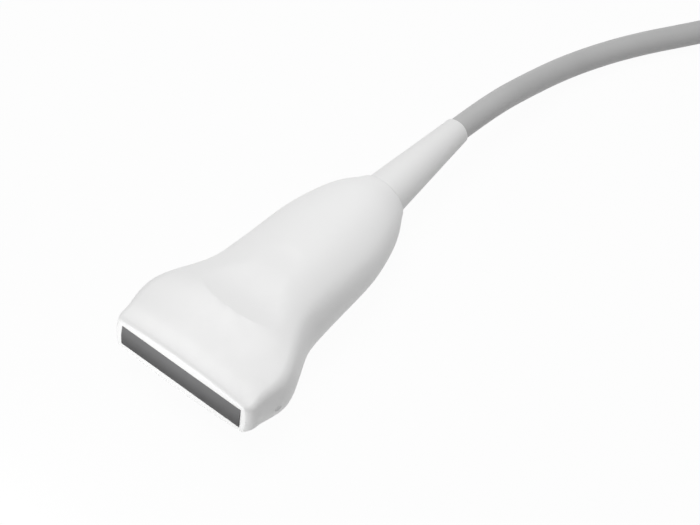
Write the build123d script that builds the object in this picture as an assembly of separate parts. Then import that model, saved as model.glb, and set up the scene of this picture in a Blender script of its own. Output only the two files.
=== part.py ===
from build123d import *
from math import cos, pi, radians, sin, tan
import os

# Linear-array ultrasound probe with its lead and its system connector, in millimetres.
# The probe lies on its belly: the lens looks along -Y, the lead leaves along +Y and +Z is up.
# The origin is on the ground under the middle of the probe, counted from the lens to the end of its boot.

# Lead
CABLE_DIAMETER = 7.3
CABLE_RADIUS = CABLE_DIAMETER / 2
ROUTE_AFTER_BOOT = [
    (0.9, 77.8, 12.9),
    (2.2, 97.0, 8.6),
    (4.8, 117.1, 4.2),
    (13.1, 136.9, CABLE_RADIUS),
    (25.6, 157.0, CABLE_RADIUS),
    (37.2, 176.8, CABLE_RADIUS),
]
HANK_CENTRE = (7.15, 279.0)
HANK_RUN_LENGTH = 60.0
HANK_INNER_TURN = 22.2
HANK_LAYERS = 5
HANK_EDGE_RADIUS = 3.0
TIE_WIDTH = 20.0
TIE_THICKNESS = 1.0
TAIL_RUNS = (16.7, 15.8, 14.5)
TAIL_BENDS = (29.0, 24.5)

# Transducer stack, from the rubber lens back
LENS_LENGTH = 42.0
LENS_HEIGHT = 7.6
LENS_CROWN = 0.4
LENS_SKIN = 0.8
LENS_SIDE_WALL = 0.5
OUTER_MATCHING_THICKNESS = 0.16
INNER_MATCHING_THICKNESS = 0.2
PIEZO_THICKNESS = 0.4
ELEMENT_PITCH = 0.6
ELEMENT_KERF = 0.1
ELEMENT_ROOT = 0.08
FLEX_THICKNESS = 0.15
BACKING_DEPTH = 11.0
STACK_FIT = 0.05

# Housing: widths and thicknesses at its stations
NOSE_LENGTH = 21.0
HANDLE_LENGTH = 66.4
NOSE_WALL = 8.0
FACE_RIM_SIDE = 1.8
FACE_RIM_TOP = 3.1
LIP_FLARE = 1.9
CHEEK_FLARE = 3.2
LIP_RISE = 0.9
CHEEK_RISE = 3.4
NOSE_END_WIDTH = 48.2
NOSE_END_THICKNESS = 24.4
WAIST_WIDTH = 38.5
WAIST_THICKNESS = 26.8
GRIP_WIDTH = 35.8
GRIP_THICKNESS = 27.0
PALM_WIDTH = 33.6
PALM_THICKNESS = 25.1
SHOULDER_WIDTH = 26.1
SHOULDER_THICKNESS = 22.3
TAIL_STEP_SIDE = 1.4
TAIL_STEP_TOP = 0.85
FACE_EDGE_RADIUS = 0.5
HOUSING_WALL = 2.4
TAIL_WALL = 2.6

# Thumb scoop on each broad side
SCOOP_FRONT = 19.5
SCOOP_LOW = 25.5
SCOOP_END = 47.0
SCOOP_DEPTH = 1.5
SCOOP_SHALLOW_DEPTH = 0.6
SCOOP_FRONT_SLOPE = 0.28

# Locating dimple on the right flank
DIMPLE_DISTANCE = 10.6
DIMPLE_RADIUS = 1.15
DIMPLE_DEPTH = 0.8
DIMPLE_DROP = 1.6

# Tongue and groove along the parting plane
TONGUE_INSET = 0.8
TONGUE_WIDTH = 0.8
TONGUE_HEIGHT = 0.8
TONGUE_PLAY = 0.08
TONGUE_FRONT = 9.0
TONGUE_TAIL_CLEARANCE = 14.0

# Electronics inside the handle
FRAME_DEPTH = 5.0
FRAME_GAP = 0.3
SPACER_HEIGHT = 6.0
BOARD_THICKNESS = 1.0
SOCKET_HEIGHT = 1.5
SOCKET_DEPTH = 5.0
SOCKET_SETBACK = 2.0
SHIELD_THICKNESS = 0.3
SHIELD_GAP = 0.3
SHIELD_SIDE_GAP = 0.6
BOARD_TAIL_CLEARANCE = 32.0
LEAD_TAIL_CLEARANCE = 19.0
RIB_THICKNESS = 1.6
RIB_FIT = 0.1
SPACER_SCREW_RADIUS = 0.8

# Strain relief and ferrule
BOOT_WALL = 3.4
BOOT_LENGTH = 36.9
BOOT_TIP_WALL = 0.5
BOOT_NECK_WALL = 2.0
BOOT_FLANGE_STEP = 0.9
BOOT_FLANGE_THICKNESS = 1.6
BOOT_TIP_ROUND = 0.25
BOOT_BORE_GAP = 0.05
FERRULE_WALL = 1.0
FERRULE_LENGTH = 7.0
FERRULE_TAIL_CLEARANCE = 8.0

# System connector
PLUG_LENGTH = 78.0
PLUG_WIDTH = 60.0
PLUG_CORNER = 8.0
PLUG_COVER_HEIGHT = 14.0
PLUG_WALL = 2.4
PLUG_EDGE_RADIUS = 3.0
PLUG_BOOT_LENGTH = 28.0
PLUG_X = 10.3
WINDOW_WIDTH = 44.0
WINDOW_LENGTH = 32.0
WINDOW_SHIFT = -10.0
WINDOW_CORNER = 3.0
RECESS_DEPTH = 8.0
BLOCK_DEPTH = 2.6
BLOCK_FIT = 0.05
BLOCK_FLANGE_STEP = 1.8
BLOCK_FLANGE_THICKNESS = 1.8
GASKET_WIDTH = 1.4
GASKET_THICKNESS = 1.4
PIN_ROWS_PER_BANK = 4
PINS_PER_ROW = 16
PIN_PITCH = 1.8
PIN_WIDTH = 0.6
PIN_LENGTH = 3.4
FIRST_ROW = 9.0
ROW_PITCH = 3.4
PLUG_BOARD_THICKNESS = 1.2
SHAFT_RADIUS = 3.0
SHAFT_PLAY = 0.1
SHAFT_TIP_HEIGHT = 1.6
CROSS_PIN_RADIUS = 1.0
CROSS_PIN_LENGTH = 10.0
CROSS_PIN_OFFSET = 1.8
CLIP_THICKNESS = 0.6
CLIP_STEP = 1.6
CLIP_PLAY = 0.35
BOSS_WALL = 3.5
KNOB_RADIUS = 15.0
KNOB_BASE_THICKNESS = 4.0
KNOB_GAP = 0.5
GRIP_BAR_LENGTH = 28.0
GRIP_BAR_WIDTH = 9.0
GRIP_BAR_HEIGHT = 9.0
KNOB_SOCKET_DEPTH = 6.0
KNOB_SCREW_RADIUS = 1.6
KNOB_SCREW_HEAD_RADIUS = 2.9
KNOB_SCREW_HEAD_HEIGHT = 2.2
KNOB_SCREW_LENGTH = 12.0
COVER_SCREW_RADIUS = 1.0
COVER_SCREW_HEAD_RADIUS = 2.3
COVER_SCREW_HEAD_HEIGHT = 1.8
COVER_SCREW_BITE = 8.0
COVER_POST_RADIUS = 3.4
SCREW_GAP = 0.08
CLAMP_WIDTH = 18.0
CLAMP_DEPTH = 6.0
CLAMP_BAR_HEIGHT = 3.0
CLAMP_DISTANCE = 7.0
CLAMP_SCREW_OFFSET = 6.4
HEADER_WIDTH = 30.0
HEADER_DEPTH = 4.0
HEADER_HEIGHT = 3.4

# Sizes that follow from the ones above
HOUSING_LENGTH = NOSE_LENGTH + HANDLE_LENGTH
FACE_WIDTH = LENS_LENGTH + 2 * FACE_RIM_SIDE
FACE_THICKNESS = LENS_HEIGHT + 2 * FACE_RIM_TOP
BOOT_RADIUS = CABLE_RADIUS + BOOT_WALL
BOOT_TIP_RADIUS = CABLE_RADIUS + BOOT_TIP_WALL
BOOT_BORE = CABLE_RADIUS + BOOT_BORE_GAP
NECK_RADIUS = CABLE_RADIUS + BOOT_NECK_WALL
FERRULE_RADIUS = CABLE_RADIUS + FERRULE_WALL
POCKET_LENGTH = LENS_LENGTH + 2 * STACK_FIT
POCKET_HEIGHT = LENS_HEIGHT + 2 * STACK_FIT
STACK_LENGTH = LENS_LENGTH - 2 * (LENS_SKIN + STACK_FIT)
STACK_HEIGHT = LENS_HEIGHT - 2 * (LENS_SIDE_WALL + STACK_FIT)
PIEZO_START = LENS_SKIN + OUTER_MATCHING_THICKNESS + INNER_MATCHING_THICKNESS
FLEX_START = PIEZO_START + PIEZO_THICKNESS
BACKING_START = FLEX_START + FLEX_THICKNESS
BACKING_END = BACKING_START + BACKING_DEPTH
BOARD_START = NOSE_LENGTH + 1
BOARD_END = HOUSING_LENGTH - BOARD_TAIL_CLEARANCE
BOARD_LENGTH = BOARD_END - BOARD_START
LEAD_START = HOUSING_LENGTH - LEAD_TAIL_CLEARANCE
SHIELD_START = BOARD_START + 0.6
SHIELD_END = BOARD_END + 2
BOARD_FACE = SPACER_HEIGHT / 2 + BOARD_THICKNESS
SHIELD_HALF_HEIGHT = BOARD_FACE + SOCKET_HEIGHT + SHIELD_GAP + SHIELD_THICKNESS
PROBE_LENGTH = LENS_CROWN + HOUSING_LENGTH + BOOT_LENGTH
FACE_Y = LENS_CROWN - PROBE_LENGTH / 2
HANK_OUTER_TURN = HANK_INNER_TURN + CABLE_DIAMETER
HANK_HEIGHT = HANK_LAYERS * CABLE_DIAMETER
HANK_SIDE_X = HANK_CENTRE[0] + HANK_OUTER_TURN
HANK_NEAR_Y = HANK_CENTRE[1] - HANK_RUN_LENGTH / 2
HANK_FAR_Y = HANK_CENTRE[1] + HANK_RUN_LENGTH / 2
PLUG_AXIS_HEIGHT = HANK_HEIGHT - CABLE_RADIUS
PLUG_BOOT_TIP_Y = HANK_FAR_Y + sum(TAIL_RUNS)
PLUG_Y = PLUG_BOOT_TIP_Y + PLUG_BOOT_LENGTH + PLUG_LENGTH / 2

# Form lines of the housing at its stations. Places are counted from the face, corners are shares of the
# half thickness, and the two angles say how far the crown and the flank arcs reach round the section.
PLACES = [0, 0.23 * NOSE_LENGTH, 0.72 * NOSE_LENGTH, NOSE_LENGTH, NOSE_LENGTH + 0.17 * HANDLE_LENGTH,
          NOSE_LENGTH + 0.37 * HANDLE_LENGTH, NOSE_LENGTH + 0.66 * HANDLE_LENGTH,
          NOSE_LENGTH + 0.87 * HANDLE_LENGTH, HOUSING_LENGTH]
HALF_WIDTHS = [FACE_WIDTH / 2, FACE_WIDTH / 2 + LIP_FLARE, FACE_WIDTH / 2 + CHEEK_FLARE, NOSE_END_WIDTH / 2,
               WAIST_WIDTH / 2, GRIP_WIDTH / 2, PALM_WIDTH / 2, SHOULDER_WIDTH / 2,
               BOOT_RADIUS + TAIL_STEP_SIDE]
HALF_THICKNESSES = [FACE_THICKNESS / 2, FACE_THICKNESS / 2 + LIP_RISE, FACE_THICKNESS / 2 + CHEEK_RISE,
                    NOSE_END_THICKNESS / 2, WAIST_THICKNESS / 2, GRIP_THICKNESS / 2, PALM_THICKNESS / 2,
                    SHOULDER_THICKNESS / 2, BOOT_RADIUS + TAIL_STEP_TOP]
CORNER_SHARES = [0.21, 0.31, 0.36, 0.36, 0.43, 0.58, 0.68, 0.80, 0.90]
CROWN_ANGLES = [7, 8, 11, 15, 24, 32, 38, 42, 45]
FLANK_ANGLES = [12, 14, 18, 22, 28, 30, 34, 38, 42]
LOFT_PLACES = PLACES[:2] + [p for a, b in zip(PLACES[1:], PLACES[2:]) for p in ((a + b) / 2, b)]


def form_line(values, place):
    """Value of a form line at a distance behind the face: cubic pieces that share their slopes."""
    last = len(PLACES) - 1
    slopes = []
    for i in range(last + 1):
        before, after = max(i - 1, 0), min(i + 1, last)
        slopes.append((values[after] - values[before]) / (PLACES[after] - PLACES[before]))
    i = 0
    while i < last - 1 and place > PLACES[i + 1]:
        i += 1
    span = PLACES[i + 1] - PLACES[i]
    t = (place - PLACES[i]) / span
    start = (1 + 2 * t) * (1 - t) ** 2 * values[i] + t * (1 - t) ** 2 * span * slopes[i]
    end = t * t * (3 - 2 * t) * values[i + 1] + t * t * (t - 1) * span * slopes[i + 1]
    return start + end


def half_width(place):
    return form_line(HALF_WIDTHS, place)


def half_thickness(place):
    return form_line(HALF_THICKNESSES, place)


class Section:
    """Section of the housing at one place: crown, corner and flank arcs that meet tangentially."""

    def __init__(self, place, wall=0.0):
        self.place = place
        self.width = half_width(place) - wall
        self.height = half_thickness(place) - wall
        self.corner = form_line(CORNER_SHARES, place) * self.height
        self.crown_angle = radians(form_line(CROWN_ANGLES, place))
        self.flank_angle = radians(form_line(FLANK_ANGLES, place))
        across = self.width - self.corner * (cos(self.flank_angle) - sin(self.crown_angle))
        upward = self.height - self.corner * (cos(self.crown_angle) - sin(self.flank_angle))
        crown_in, crown_up = sin(self.crown_angle), 1 - cos(self.crown_angle)
        flank_in, flank_up = 1 - cos(self.flank_angle), sin(self.flank_angle)
        share = crown_in * flank_up - flank_in * crown_up
        self.crown = (across * flank_up - flank_in * upward) / share
        self.flank = (crown_in * upward - crown_up * across) / share

    def point(self, angle):
        """Point of the first quarter where the surface faces at this angle above +X."""
        if angle <= self.flank_angle:
            return (self.width - self.flank * (1 - cos(angle)), self.flank * sin(angle))
        if angle >= pi / 2 - self.crown_angle:
            return (self.crown * cos(angle), self.height - self.crown * (1 - sin(angle)))
        reach = self.flank - self.corner
        return (self.width - self.flank + reach * cos(self.flank_angle) + self.corner * cos(angle),
                reach * sin(self.flank_angle) + self.corner * sin(angle))

    def reach(self, height):
        """Half width of the section at a height above its axis."""
        low, high = 0.0, pi / 2
        for _ in range(40):
            middle = (low + high) / 2
            if self.point(middle)[1] < height:
                low = middle
            else:
                high = middle
        return self.point(low)[0]

    def arcs(self, upward=1):
        """The five arcs over the section, from +X round to -X."""
        bounds = [0, self.flank_angle, pi / 2 - self.crown_angle, pi / 2]
        quarter = []
        for start, end in zip(bounds, bounds[1:]):
            quarter.append([self.point(start), self.point((start + end) / 2), self.point(end)])
        flank, corner, crown = quarter
        top = [crown[0], crown[2], (-crown[0][0], crown[0][1])]
        mirrored = [[(-x, z) for x, z in reversed(arc)] for arc in (corner, flank)]
        arcs = []
        for arc in [flank, corner, top] + mirrored:
            arcs.append(Edge.make_three_point_arc(*[(x, self.place, upward * z) for x, z in arc]))
        return arcs


def block(x, y, z):
    """A box between two places along each direction."""
    size = [b - a for a, b in (x, y, z)]
    return Pos(x[0], y[0], z[0]) * Box(*size, align=(Align.MIN, Align.MIN, Align.MIN))


def rod_along_y(radius, start, end, height=0.0):
    """A round rod from one distance to another along +Y."""
    rod = Cylinder(radius, end - start, align=(Align.CENTER, Align.CENTER, Align.MIN))
    return Pos(0, start, height) * Rot(-90, 0, 0) * rod


def rod_up(radius, low, high, x=0.0, y=0.0):
    """An upright round rod."""
    return Pos(x, y, low) * Cylinder(radius, high - low, align=(Align.CENTER, Align.CENTER, Align.MIN))


def turned(outline, axis=Axis.Y):
    """A closed outline of straight runs in the XY plane, turned about an axis."""
    return revolve(make_face(Polyline(*outline, close=True)), axis)


# The housing

def housing_form():
    """The solid upper half of the housing, with a small round along the front edge."""
    wires = []
    for place in LOFT_PLACES:
        section = Section(place)
        base = Edge.make_line((-section.width, place, 0), (section.width, place, 0))
        wires.append(Wire(section.arcs() + [base]))
    form = Solid.make_loft(wires)
    front = [e for e in form.faces().sort_by(Axis.Y)[0].edges() if e.center().Z > FACE_EDGE_RADIUS]
    return form.fillet(FACE_EDGE_RADIUS, front)


def housing_cavity():
    """The hollow of the housing, both halves, with the ribs that hold the shield and the ferrule."""
    inside = [p for p in LOFT_PLACES if NOSE_WALL + 1 < p < HOUSING_LENGTH - TAIL_WALL - 1]
    wires = []
    for place in [NOSE_WALL] + inside + [HOUSING_LENGTH - TAIL_WALL]:
        section = Section(place, HOUSING_WALL)
        wires.append(Wire(section.arcs() + section.arcs(-1)))
    hollow = Solid.make_loft(wires)
    wide = 2 * max(HALF_WIDTHS)
    for middle in rib_places():
        hollow -= Pos(0, middle, 0) * Box(wide, RIB_THICKNESS, wide)
    return hollow


def rib_places():
    """Middles of the two ribs round the shield and of the one round the ferrule."""
    quarter = (SHIELD_END - SHIELD_START) / 4
    ferrule = HOUSING_LENGTH - FERRULE_TAIL_CLEARANCE - FERRULE_LENGTH / 2
    return [SHIELD_START + quarter, SHIELD_END - quarter, ferrule]


def thumb_scoop():
    """The tool that hollows the crowned broad side behind the nose: level from side to side, so that its rim is
    an arc that bows towards the nose and fades out along both sides."""
    wide, reach = max(HALF_WIDTHS), 2.0
    front, end = half_thickness(SCOOP_FRONT), half_thickness(SCOOP_END)
    middle = (SCOOP_LOW + SCOOP_END) / 2
    rim = max(front, end) + SCOOP_DEPTH
    floor = [(0, SCOOP_FRONT - reach, front + reach * SCOOP_FRONT_SLOPE), (0, SCOOP_FRONT, front),
             (0, SCOOP_LOW, half_thickness(SCOOP_LOW) - SCOOP_DEPTH),
             (0, middle, half_thickness(middle) - SCOOP_SHALLOW_DEPTH), (0, SCOOP_END, end),
             (0, SCOOP_END + reach, end + reach * SCOOP_FRONT_SLOPE)]
    far, near = (0, SCOOP_END + reach, rim), (0, SCOOP_FRONT - reach, rim)
    outline = [Spline(*floor).edge(), Edge.make_line(floor[-1], far), Edge.make_line(far, near),
               Edge.make_line(near, floor[0])]
    return extrude(Face(Wire(outline)), wide, dir=(1, 0, 0), both=True)


def side_rail(inset, width, height):
    """A strip along both flanks of the parting plane, from behind the nose to before the tail."""
    start, end = TONGUE_FRONT, HOUSING_LENGTH - TONGUE_TAIL_CLEARANCE
    steps = 9
    places = [start + (end - start) * i / (steps - 1) for i in range(steps)]
    outer = [(half_width(p) - inset, p) for p in places]
    inner = [(x - width, p) for x, p in reversed(outer)]
    outline = Spline(*outer) + Line(outer[-1], inner[0]) + Spline(*inner) + Line(inner[-1], outer[0])
    rail = extrude(make_face(outline), height)
    return rail + mirror(rail, Plane.YZ)


def housing_half(form, hollow):
    """One half before its own details: walls, ribs, lens pocket and tail bore."""
    wide = max(HALF_WIDTHS)
    shell = form - hollow
    shell -= block((-POCKET_LENGTH / 2, POCKET_LENGTH / 2), (-1, NOSE_WALL + 1),
                   (-POCKET_HEIGHT / 2, POCKET_HEIGHT / 2))
    window_x = shield_half_width() + RIB_FIT
    window_z = SHIELD_HALF_HEIGHT + RIB_FIT
    shell -= block((-window_x, window_x), (SHIELD_START, SHIELD_END), (-window_z, window_z))
    shell -= rod_along_y(FERRULE_RADIUS + RIB_FIT, SHIELD_END, HOUSING_LENGTH - TAIL_WALL)
    shell -= rod_along_y(NECK_RADIUS + BOOT_BORE_GAP, HOUSING_LENGTH - TAIL_WALL - 1, HOUSING_LENGTH + 1)
    shell -= thumb_scoop()
    keep = block((-wide, wide), (-1, HOUSING_LENGTH + 1), (0, 2 * wide))
    return shell & keep


def upper_housing(half):
    return half - side_rail(TONGUE_INSET - TONGUE_PLAY, TONGUE_WIDTH + 2 * TONGUE_PLAY,
                            TONGUE_HEIGHT + TONGUE_PLAY)


def lower_housing(half):
    lower = mirror(half, Plane.XY) + side_rail(TONGUE_INSET, TONGUE_WIDTH, TONGUE_HEIGHT)
    flank = half_width(DIMPLE_DISTANCE)
    ball = (DIMPLE_RADIUS ** 2 + DIMPLE_DEPTH ** 2) / (2 * DIMPLE_DEPTH)
    return lower - Pos(flank - DIMPLE_DEPTH + ball, DIMPLE_DISTANCE, -DIMPLE_DROP) * Sphere(ball)


# The transducer stack

def acoustic_lens():
    """Rubber cap over the stack, crowned across its short side."""
    body = block((-LENS_LENGTH / 2, LENS_LENGTH / 2), (0, NOSE_WALL), (-LENS_HEIGHT / 2, LENS_HEIGHT / 2))
    inner_x = STACK_LENGTH / 2 + STACK_FIT
    inner_z = STACK_HEIGHT / 2 + STACK_FIT
    body -= block((-inner_x, inner_x), (LENS_SKIN, NOSE_WALL + 1), (-inner_z, inner_z))
    edge = LENS_HEIGHT / 2
    arc = ThreePointArc((0, 0, -edge), (0, -LENS_CROWN, 0), (0, 0, edge))
    crown = make_face(arc + Line((0, 0, edge), (0, 0, -edge)))
    return body + extrude(crown, LENS_LENGTH / 2, dir=(1, 0, 0), both=True)


def stack_layer(start, thickness):
    """A flat layer of the stack."""
    return block((-STACK_LENGTH / 2, STACK_LENGTH / 2), (start, start + thickness),
                 (-STACK_HEIGHT / 2, STACK_HEIGHT / 2))


def piezo_array():
    """Ceramic bar diced into elements, joined by a thin root at the back."""
    count = int(STACK_LENGTH / ELEMENT_PITCH)
    first = -count * ELEMENT_PITCH / 2
    front, root, back = 0.0, PIEZO_THICKNESS - ELEMENT_ROOT, PIEZO_THICKNESS
    outline = []
    for i in range(count):
        left = first + i * ELEMENT_PITCH + ELEMENT_KERF / 2
        right = left + ELEMENT_PITCH - ELEMENT_KERF
        outline += [(left, root), (left, front), (right, front), (right, root)]
    outline += [(outline[-1][0], back), (outline[0][0], back)]
    bar = extrude(make_face(Polyline(*outline, close=True)), STACK_HEIGHT / 2, both=True)
    return Pos(0, PIEZO_START, 0) * bar


def backing_block():
    half = STACK_HEIGHT / 2 - FLEX_THICKNESS
    return block((-STACK_LENGTH / 2, STACK_LENGTH / 2), (BACKING_START, BACKING_END), (-half, half))


def flex_circuit():
    """Flexible circuit folded round the front of the backing, its legs running on to the sockets."""
    outer = STACK_HEIGHT / 2
    inner = outer - FLEX_THICKNESS
    seat = BOARD_FACE + SOCKET_HEIGHT / 2
    end = BOARD_START + SOCKET_SETBACK
    bend = BACKING_END + 1
    leg = [(FLEX_START, outer), (bend, outer), (BOARD_START, seat + FLEX_THICKNESS),
           (end, seat + FLEX_THICKNESS), (end, seat), (BOARD_START, seat), (bend, inner),
           (BACKING_START, inner)]
    outline = leg + [(y, -z) for y, z in reversed(leg)]
    side = make_face(Polyline(*[(0, y, z) for y, z in outline], close=True))
    folded = extrude(side, STACK_LENGTH / 2, dir=(1, 0, 0), both=True)
    broad, narrow = STACK_LENGTH / 2, board_half_width() - 1
    plan = [(-broad, FLEX_START), (broad, FLEX_START), (broad, bend), (narrow, BOARD_START), (narrow, end),
            (-narrow, end), (-narrow, BOARD_START), (-broad, bend)]
    return folded & extrude(make_face(Polyline(*plan, close=True)), 2 * seat, both=True)


def array_frame():
    """Metal frame behind the nose wall that holds the stack and spreads its heat."""
    outline = Section(NOSE_WALL, HOUSING_WALL + FRAME_GAP)
    ring = extrude(make_face(Wire(outline.arcs() + outline.arcs(-1))), FRAME_DEPTH, dir=(0, 1, 0))
    inner_x = STACK_LENGTH / 2 + STACK_FIT
    inner_z = STACK_HEIGHT / 2 + STACK_FIT
    through = (NOSE_WALL - 1, NOSE_WALL + FRAME_DEPTH + 1)
    return ring - block((-inner_x, inner_x), through, (-inner_z, inner_z))


# The electronics

def shield_half_width():
    """Half width of the shield, as wide as the handle's hollow lets it be."""
    places = [SHIELD_START + (SHIELD_END - SHIELD_START) * i / 8 for i in range(9)]
    return min(Section(p, HOUSING_WALL).reach(SHIELD_HALF_HEIGHT) for p in places) - SHIELD_SIDE_GAP


def board_half_width():
    return shield_half_width() - SHIELD_THICKNESS - SHIELD_GAP


def signal_board(side):
    """One of the two boards; side is 1 for the upper and -1 for the lower."""
    heights = sorted((side * SPACER_HEIGHT / 2, side * BOARD_FACE))
    half = board_half_width()
    board = block((-half, half), (BOARD_START, BOARD_END), heights)
    for place in spacer_screw_places():
        board -= rod_up(SPACER_SCREW_RADIUS + SCREW_GAP, -BOARD_FACE - 1, BOARD_FACE + 1, 0, place)
    return board


def spacer_screw_places():
    return [BOARD_START + BOARD_LENGTH * 0.45, BOARD_END - BOARD_LENGTH * 0.15]


def board_spacer():
    """Moulded spacer between the boards."""
    half = board_half_width() * 0.8
    spacer = block((-half, half), (BOARD_START + 2, BOARD_END), (-SPACER_HEIGHT / 2, SPACER_HEIGHT / 2))
    wall = 1.6
    spacer -= block((-half + wall, half - wall), (BOARD_START + 2 + wall, BOARD_START + BOARD_LENGTH * 0.35),
                    (-SPACER_HEIGHT, SPACER_HEIGHT))
    for place in spacer_screw_places():
        spacer -= rod_up(SPACER_SCREW_RADIUS + SCREW_GAP, -SPACER_HEIGHT, SPACER_HEIGHT, 0, place)
    return spacer


def board_socket(side):
    """Socket on the outside of a board that takes the end of the flexible circuit."""
    start = BOARD_START + SOCKET_SETBACK
    half = board_half_width() - 0.5
    heights = sorted((side * BOARD_FACE, side * (BOARD_FACE + SOCKET_HEIGHT)))
    return block((-half, half), (start, start + SOCKET_DEPTH), heights)


def spacer_screws():
    """Two screws through both boards and the spacer, with their heads on the upper board."""
    screws = []
    head_height = 1.0
    for place in spacer_screw_places():
        shank = rod_up(SPACER_SCREW_RADIUS, -BOARD_FACE, BOARD_FACE, 0, place)
        head = rod_up(2 * SPACER_SCREW_RADIUS, BOARD_FACE, BOARD_FACE + head_height, 0, place)
        screws.append(shank + head)
    return Compound(children=screws)


def shield_sleeve():
    """Thin metal sleeve round the boards, held by the ribs of both halves."""
    x, z = shield_half_width(), SHIELD_HALF_HEIGHT
    sleeve = block((-x, x), (SHIELD_START, SHIELD_END), (-z, z))
    x, z = x - SHIELD_THICKNESS, z - SHIELD_THICKNESS
    return sleeve - block((-x, x), (SHIELD_START - 1, SHIELD_END + 1), (-z, z))


def coax_fan(start, end, half_x, half_z, drop=0.0):
    """The lead's conductors fanned out from the round lead at the end to a flat row at the start."""
    flat = Plane((0, start, -drop), x_dir=(1, 0, 0), z_dir=(0, 1, 0)) * Rectangle(2 * half_x, 2 * half_z)
    around = Plane((0, end, 0), x_dir=(1, 0, 0), z_dir=(0, 1, 0)) * Circle(0.8 * CABLE_RADIUS)
    return loft([flat, around])


def lead_ferrule(start):
    """Crimped ring on the lead."""
    ring = rod_along_y(FERRULE_RADIUS, start, start + FERRULE_LENGTH)
    return ring - rod_along_y(CABLE_RADIUS + BOOT_BORE_GAP / 2, start - 1, start + FERRULE_LENGTH + 1)


def boot(wall, length):
    """Tapered strain relief with a neck and a flange that the housing wall holds, seated at zero."""
    inner_end = -wall - BOOT_FLANGE_THICKNESS
    flange = NECK_RADIUS + BOOT_FLANGE_STEP
    outline = [(BOOT_BORE, inner_end), (flange, inner_end), (flange, -wall), (NECK_RADIUS, -wall),
               (NECK_RADIUS, 0), (BOOT_RADIUS, 0), (BOOT_TIP_RADIUS, length - BOOT_TIP_ROUND),
               (BOOT_TIP_RADIUS - BOOT_TIP_ROUND, length), (BOOT_BORE, length)]
    return turned(outline)


# The free lead

def bend_radii(points):
    """Radius of the arc at each inner point, as large as the two runs beside it allow."""
    radii = []
    for before, here, after in zip(points, points[1:], points[2:]):
        run_in, run_out = Vector(*here) - Vector(*before), Vector(*after) - Vector(*here)
        half_turn = radians(run_in.get_angle(run_out)) / 2
        radii.append(0.45 * min(run_in.length, run_out.length) / tan(half_turn))
    return radii


def bent_lead(points, radii):
    """A length of lead that starts along +Y, with straight runs joined by tangent arcs."""
    path = FilletPolyline(*points, radius=radii)
    return sweep(Plane(origin=points[0], z_dir=(0, 1, 0)) * Circle(CABLE_RADIUS), path=path)


def cable(axis_height):
    """The lead from the boot along the ground to the near end of the hank's outer run."""
    hank_start = (HANK_SIDE_X, HANK_NEAR_Y, CABLE_RADIUS)
    points = [(0, PROBE_LENGTH / 2, axis_height)] + ROUTE_AFTER_BOOT + [hank_start]
    radii = bend_radii(points)
    print("bend radii of the lead:", [round(r, 1) for r in radii])
    return bent_lead(points, radii)


def cable_hank():
    """Outer shape of the put-away lead: an oval ring of turns, its edges rounded as the outer turns are."""
    outer = SlotCenterToCenter(HANK_RUN_LENGTH, 2 * (HANK_OUTER_TURN + CABLE_RADIUS), rotation=90)
    inner = SlotCenterToCenter(HANK_RUN_LENGTH, 2 * (HANK_INNER_TURN - CABLE_RADIUS), rotation=90)
    ring = extrude(outer - inner, HANK_HEIGHT)
    layers = ring.edges().group_by(Axis.Z)
    ring = fillet(layers[0] + layers[-1], HANK_EDGE_RADIUS)
    return Pos(*HANK_CENTRE, 0) * ring - hank_tie()


def hank_tie():
    """Soft strap round the turns of the outer run, let into the hank where it passes below."""
    width, height = 2 * CABLE_DIAMETER, HANK_HEIGHT - TIE_THICKNESS
    middle = (HANK_CENTRE[0] + (HANK_INNER_TURN + HANK_OUTER_TURN) / 2, HANK_CENTRE[1] - TIE_WIDTH / 2,
              TIE_THICKNESS + height / 2)
    section = RectangleRounded(width + 2 * TIE_THICKNESS, height + 2 * TIE_THICKNESS,
                               HANK_EDGE_RADIUS + TIE_THICKNESS)
    section -= RectangleRounded(width, height, HANK_EDGE_RADIUS)
    return extrude(Plane(origin=middle, x_dir=(1, 0, 0), z_dir=(0, 1, 0)) * section, TIE_WIDTH)


def cable_tail():
    """The last stretch, from the top layer of the hank round to the connector's boot."""
    corner = HANK_FAR_Y + TAIL_RUNS[0]
    points = [(HANK_SIDE_X, HANK_FAR_Y), (HANK_SIDE_X, corner), (PLUG_X, corner + TAIL_RUNS[1]),
              (PLUG_X, PLUG_BOOT_TIP_Y)]
    return bent_lead([(x, y, PLUG_AXIS_HEIGHT) for x, y in points], list(TAIL_BENDS))


# The system connector, about its own middle with the ground at zero and the lead leaving along +Y there

BLOCK_START = RECESS_DEPTH
BLOCK_SEAT = RECESS_DEPTH + BLOCK_DEPTH
BLOCK_TOP = BLOCK_SEAT + BLOCK_FLANGE_THICKNESS
PLUG_BOARD_TOP = BLOCK_TOP + PLUG_BOARD_THICKNESS
CLIP_LOW = PLUG_BOARD_TOP + CLIP_PLAY
BOSS_LOW = CLIP_LOW + CLIP_THICKNESS + CLIP_PLAY
PLUG_TOP = PLUG_AXIS_HEIGHT + PLUG_COVER_HEIGHT
KNOB_LOW = PLUG_TOP + KNOB_GAP
SHAFT_TOP = KNOB_LOW + KNOB_SOCKET_DEPTH
KNOB_TOP = KNOB_LOW + KNOB_BASE_THICKNESS + GRIP_BAR_HEIGHT
LEAD_END = PLUG_LENGTH / 2 - PLUG_WALL - CLAMP_DISTANCE - CLAMP_DEPTH - 2
PIN_ROW_LENGTH = PINS_PER_ROW * PIN_PITCH


def on_ground(shape):
    """Moves a shape from the connector's own middle to its place, with the lead towards the probe."""
    return Pos(PLUG_X, PLUG_Y, 0) * Rot(0, 0, 180) * shape


def plug_prism(width, length, corner, low, high):
    """An upright prism with rounded corners."""
    return extrude(Plane((0, 0, low)) * RectangleRounded(width, length, corner), high - low)


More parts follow.
